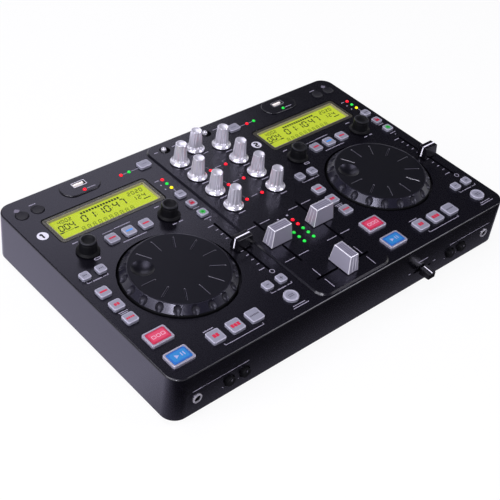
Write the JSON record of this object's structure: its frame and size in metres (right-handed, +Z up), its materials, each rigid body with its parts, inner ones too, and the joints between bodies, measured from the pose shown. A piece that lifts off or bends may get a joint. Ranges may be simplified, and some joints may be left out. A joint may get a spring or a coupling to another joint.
{
  "type": "two-deck media player and mixer",
  "caption": "Flat two-deck media player and mixer with jog wheels, lit displays, sprung keys, turning knobs and sliding faders.",
  "frame": {"origin": "middle of the footprint, on the surface that the feet stand on", "axes": "X to the user's right, Y away from the user, Z up"},
  "size_m": [0.42, 0.288, 0.0789],
  "materials": {
    "case_plastic": "fine moulded texture, nearly black",
    "panel_plastic": "fine moulded texture, nearly black",
    "bottom_steel": "black painted sheet",
    "window_clear": "clear acrylic",
    "display_face": "lit yellow-green display with a beige frame",
    "socket_steel": "tinned steel",
    "jack_metal": "bright plated ring, dark inside",
    "pin_jack_metal": "plated",
    "fitting_plastic": "black moulding",
    "switch_plastic": "polished black",
    "light_lens": "small lit lenses, red, green and yellow",
    "board": "green laminate",
    "foot_rubber": "black rubber",
    "screw_steel": "zinc plated",
    "jog_plastic": "glossy bevel, matt dark top",
    "key_grey": "satin light grey",
    "key_dark": "satin near-black",
    "cue_red": "pink-red face in a silver rim",
    "play_blue": "blue face in a silver rim",
    "knob_silver": "silver satin lacquer",
    "fader_silver": "silver satin lacquer",
    "cap_black": "black, with one white line",
    "encoder_black": "satin black",
    "toggle_chrome": "bright plated"
  },
  "bodies": {
    "case": {"top_case": "case_plastic", "bottom_plate": "bottom_steel", "mixer_panel": "panel_plastic", "display_windows": "window_clear", "display_modules": "display_face", "stick_sockets": "socket_steel", "phone_jacks": "jack_metal", "rear_jacks": "pin_jack_metal", "power_fittings": "fitting_plastic", "indicator_lights": "light_lens", "circuit_boards": "board", "fader_tracks": "fitting_plastic", "rotary_bodies": "fitting_plastic", "toggle_bodies": "fitting_plastic", "rubber_feet": "foot_rubber", "case_screws": "screw_steel"},
    "left_jog_wheel": {"left_jog_wheel": "jog_plastic"},
    "left_large_keys": {"left_large_keys": "key_grey"},
    "left_medium_keys": {"left_medium_keys": "key_grey"},
    "left_small_keys": {"left_small_keys": "key_grey"},
    "left_cue_button": {"left_cue_button": "cue_red"},
    "left_play_button": {"left_play_button": "play_blue"},
    "left_round_button": {"left_round_button": "key_grey"},
    "left_dark_buttons": {"left_dark_buttons": "key_dark"},
    "left_source_button": {"left_source_button": "key_grey"},
    "left_browse_encoder": {"left_browse_encoder": "encoder_black"},
    "left_program_encoder": {"left_program_encoder": "encoder_black"},
    "left_pitch_fader": {"left_pitch_fader": "cap_black"},
    "left_line_fader": {"left_line_fader": "fader_silver"},
    "left_input_toggle": {"left_input_toggle": "toggle_chrome"},
    "left_gain_knob": {"left_gain_knob": "knob_silver"},
    "left_treble_knob": {"left_treble_knob": "knob_silver"},
    "left_middle_knob": {"left_middle_knob": "knob_silver"},
    "left_bass_knob": {"left_bass_knob": "knob_silver"},
    "left_outer_front_knob": {"left_outer_front_knob": "cap_black"},
    "left_inner_front_knob": {"left_inner_front_knob": "cap_black"},
    "right_jog_wheel": {"right_jog_wheel": "jog_plastic"},
    "right_large_keys": {"right_large_keys": "key_grey"},
    "right_medium_keys": {"right_medium_keys": "key_grey"},
    "right_small_keys": {"right_small_keys": "key_grey"},
    "right_cue_button": {"right_cue_button": "cue_red"},
    "right_play_button": {"right_play_button": "play_blue"},
    "right_round_button": {"right_round_button": "key_grey"},
    "right_dark_buttons": {"right_dark_buttons": "key_dark"},
    "right_source_button": {"right_source_button": "key_grey"},
    "right_browse_encoder": {"right_browse_encoder": "encoder_black"},
    "right_program_encoder": {"right_program_encoder": "encoder_black"},
    "right_pitch_fader": {"right_pitch_fader": "cap_black"},
    "right_line_fader": {"right_line_fader": "fader_silver"},
    "right_input_toggle": {"right_input_toggle": "toggle_chrome"},
    "right_gain_knob": {"right_gain_knob": "knob_silver"},
    "right_treble_knob": {"right_treble_knob": "knob_silver"},
    "right_middle_knob": {"right_middle_knob": "knob_silver"},
    "right_bass_knob": {"right_bass_knob": "knob_silver"},
    "right_outer_front_knob": {"right_outer_front_knob": "cap_black"},
    "right_inner_front_knob": {"right_inner_front_knob": "cap_black"},
    "master_knob": {"master_knob": "knob_silver"},
    "crossfader": {"crossfader": "fader_silver"},
    "curve_slider": {"curve_slider": "cap_black"},
    "power_switch": {"power_switch": "switch_plastic"}
  },
  "joints": [
    {"name": "left_jog_wheel_turn", "type": "hinge", "parent": "case", "child": "left_jog_wheel", "pos_m": [-0.1271, -0.0325, 0.0544], "axis": [0, 0, 1], "continuous": true},
    {"name": "left_large_keys_slide", "type": "slide", "parent": "case", "child": "left_large_keys", "axis": [0, 0, -1], "range_m": [0, 0.0008], "stiffness_N_per_m": 1200, "springref_m": -0.0004},
    {"name": "left_medium_keys_slide", "type": "slide", "parent": "case", "child": "left_medium_keys", "axis": [0, 0, -1], "range_m": [0, 0.0008], "stiffness_N_per_m": 1200, "springref_m": -0.0004},
    {"name": "left_small_keys_slide", "type": "slide", "parent": "case", "child": "left_small_keys", "axis": [0, 0, -1], "range_m": [0, 0.0008], "stiffness_N_per_m": 1200, "springref_m": -0.0004},
    {"name": "left_cue_button_slide", "type": "slide", "parent": "case", "child": "left_cue_button", "axis": [0, 0, -1], "range_m": [0, 0.0008], "stiffness_N_per_m": 1200, "springref_m": -0.0004},
    {"name": "left_play_button_slide", "type": "slide", "parent": "case", "child": "left_play_button", "axis": [0, 0, -1], "range_m": [0, 0.0008], "stiffness_N_per_m": 1200, "springref_m": -0.0004},
    {"name": "left_round_button_slide", "type": "slide", "parent": "case", "child": "left_round_button", "axis": [0, 0, -1], "range_m": [0, 0.0008], "stiffness_N_per_m": 1200, "springref_m": -0.0004},
    {"name": "left_dark_buttons_slide", "type": "slide", "parent": "case", "child": "left_dark_buttons", "axis": [0, 0, -1], "range_m": [0, 0.0008], "stiffness_N_per_m": 1200, "springref_m": -0.0004},
    {"name": "left_source_button_slide", "type": "slide", "parent": "case", "child": "left_source_button", "axis": [0, 0, -1], "range_m": [0, 0.0008], "stiffness_N_per_m": 1200, "springref_m": -0.0004},
    {"name": "left_browse_encoder_turn", "type": "hinge", "parent": "case", "child": "left_browse_encoder", "pos_m": [-0.1743, 0.036, 0.0544], "axis": [0, 0, 1], "continuous": true},
    {"name": "left_program_encoder_turn", "type": "hinge", "parent": "case", "child": "left_program_encoder", "pos_m": [-0.0843, 0.036, 0.0544], "axis": [0, 0, 1], "continuous": true},
    {"name": "left_pitch_fader_slide", "type": "slide", "parent": "case", "child": "left_pitch_fader", "axis": [0, 1, 0], "range_m": [-0.035, 0.035]},
    {"name": "left_line_fader_slide", "type": "slide", "parent": "case", "child": "left_line_fader", "axis": [0, 1, 0], "range_m": [-0.0264, 0.0264]},
    {"name": "left_input_toggle_turn", "type": "hinge", "parent": "case", "child": "left_input_toggle", "pos_m": [-0.0264, 0.1164, 0.04925], "axis": [0, 1, 0], "range_deg": [0, 22]},
    {"name": "left_gain_knob_turn", "type": "hinge", "parent": "case", "child": "left_gain_knob", "pos_m": [-0.0266, 0.0925, 0.05625], "axis": [0, 0, 1], "range_deg": [-150, 150]},
    {"name": "left_treble_knob_turn", "type": "hinge", "parent": "case", "child": "left_treble_knob", "pos_m": [-0.0266, 0.0656, 0.05625], "axis": [0, 0, 1], "range_deg": [-150, 150]},
    {"name": "left_middle_knob_turn", "type": "hinge", "parent": "case", "child": "left_middle_knob", "pos_m": [-0.0266, 0.0387, 0.05625], "axis": [0, 0, 1], "range_deg": [-150, 150]},
    {"name": "left_bass_knob_turn", "type": "hinge", "parent": "case", "child": "left_bass_knob", "pos_m": [-0.0266, 0.0118, 0.05625], "axis": [0, 0, 1], "range_deg": [-150, 150]},
    {"name": "left_outer_front_knob_turn", "type": "hinge", "parent": "case", "child": "left_outer_front_knob", "pos_m": [-0.15, -0.131, 0.022], "axis": [0, -1, 0], "range_deg": [-150, 150]},
    {"name": "left_inner_front_knob_turn", "type": "hinge", "parent": "case", "child": "left_inner_front_knob", "pos_m": [-0.133, -0.131, 0.022], "axis": [0, -1, 0], "range_deg": [-150, 150]},
    {"name": "right_jog_wheel_turn", "type": "hinge", "parent": "case", "child": "right_jog_wheel", "pos_m": [0.1271, -0.0325, 0.0544], "axis": [0, 0, 1], "continuous": true},
    {"name": "right_large_keys_slide", "type": "slide", "parent": "case", "child": "right_large_keys", "axis": [0, 0, -1], "range_m": [0, 0.0008], "stiffness_N_per_m": 1200, "springref_m": -0.0004},
    {"name": "right_medium_keys_slide", "type": "slide", "parent": "case", "child": "right_medium_keys", "axis": [0, 0, -1], "range_m": [0, 0.0008], "stiffness_N_per_m": 1200, "springref_m": -0.0004},
    {"name": "right_small_keys_slide", "type": "slide", "parent": "case", "child": "right_small_keys", "axis": [0, 0, -1], "range_m": [0, 0.0008], "stiffness_N_per_m": 1200, "springref_m": -0.0004},
    {"name": "right_cue_button_slide", "type": "slide", "parent": "case", "child": "right_cue_button", "axis": [0, 0, -1], "range_m": [0, 0.0008], "stiffness_N_per_m": 1200, "springref_m": -0.0004},
    {"name": "right_play_button_slide", "type": "slide", "parent": "case", "child": "right_play_button", "axis": [0, 0, -1], "range_m": [0, 0.0008], "stiffness_N_per_m": 1200, "springref_m": -0.0004},
    {"name": "right_round_button_slide", "type": "slide", "parent": "case", "child": "right_round_button", "axis": [0, 0, -1], "range_m": [0, 0.0008], "stiffness_N_per_m": 1200, "springref_m": -0.0004},
    {"name": "right_dark_buttons_slide", "type": "slide", "parent": "case", "child": "right_dark_buttons", "axis": [0, 0, -1], "range_m": [0, 0.0008], "stiffness_N_per_m": 1200, "springref_m": -0.0004},
    {"name": "right_source_button_slide", "type": "slide", "parent": "case", "child": "right_source_button", "axis": [0, 0, -1], "range_m": [0, 0.0008], "stiffness_N_per_m": 1200, "springref_m": -0.0004},
    {"name": "right_browse_encoder_turn", "type": "hinge", "parent": "case", "child": "right_browse_encoder", "pos_m": [0.0799, 0.036, 0.0544], "axis": [0, 0, 1], "continuous": true},
    {"name": "right_program_encoder_turn", "type": "hinge", "parent": "case", "child": "right_program_encoder", "pos_m": [0.1699, 0.036, 0.0544], "axis": [0, 0, 1], "continuous": true},
    {"name": "right_pitch_fader_slide", "type": "slide", "parent": "case", "child": "right_pitch_fader", "axis": [0, 1, 0], "range_m": [-0.035, 0.035]},
    {"name": "right_line_fader_slide", "type": "slide", "parent": "case", "child": "right_line_fader", "axis": [0, 1, 0], "range_m": [-0.0264, 0.0264]},
    {"name": "right_input_toggle_turn", "type": "hinge", "parent": "case", "child": "right_input_toggle", "pos_m": [0.0264, 0.1164, 0.04925], "axis": [0, 1, 0], "range_deg": [0, 22]},
    {"name": "right_gain_knob_turn", "type": "hinge", "parent": "case", "child": "right_gain_knob", "pos_m": [0.0266, 0.0925, 0.05625], "axis": [0, 0, 1], "range_deg": [-150, 150]},
    {"name": "right_treble_knob_turn", "type": "hinge", "parent": "case", "child": "right_treble_knob", "pos_m": [0.0266, 0.0656, 0.05625], "axis": [0, 0, 1], "range_deg": [-150, 150]},
    {"name": "right_middle_knob_turn", "type": "hinge", "parent": "case", "child": "right_middle_knob", "pos_m": [0.0266, 0.0387, 0.05625], "axis": [0, 0, 1], "range_deg": [-150, 150]},
    {"name": "right_bass_knob_turn", "type": "hinge", "parent": "case", "child": "right_bass_knob", "pos_m": [0.0266, 0.0118, 0.05625], "axis": [0, 0, 1], "range_deg": [-150, 150]},
    {"name": "right_outer_front_knob_turn", "type": "hinge", "parent": "case", "child": "right_outer_front_knob", "pos_m": [0.15, -0.131, 0.022], "axis": [0, -1, 0], "range_deg": [-150, 150]},
    {"name": "right_inner_front_knob_turn", "type": "hinge", "parent": "case", "child": "right_inner_front_knob", "pos_m": [0.133, -0.131, 0.022], "axis": [0, -1, 0], "range_deg": [-150, 150]},
    {"name": "master_knob_turn", "type": "hinge", "parent": "case", "child": "master_knob", "pos_m": [0, 0.1018, 0.05625], "axis": [0, 0, 1], "range_deg": [-150, 150]},
    {"name": "crossfader_slide", "type": "slide", "parent": "case", "child": "crossfader", "axis": [1, 0, 0], "range_m": [-0.0264, 0.0264]},
    {"name": "curve_slider_slide", "type": "slide", "parent": "case", "child": "curve_slider", "axis": [1, 0, 0], "range_m": [-0.009, 0.009]},
    {"name": "power_switch_turn", "type": "hinge", "parent": "case", "child": "power_switch", "pos_m": [0.13, 0.1275, 0.026], "axis": [-1, 0, 0], "range_deg": [0, 16]}
  ]
}
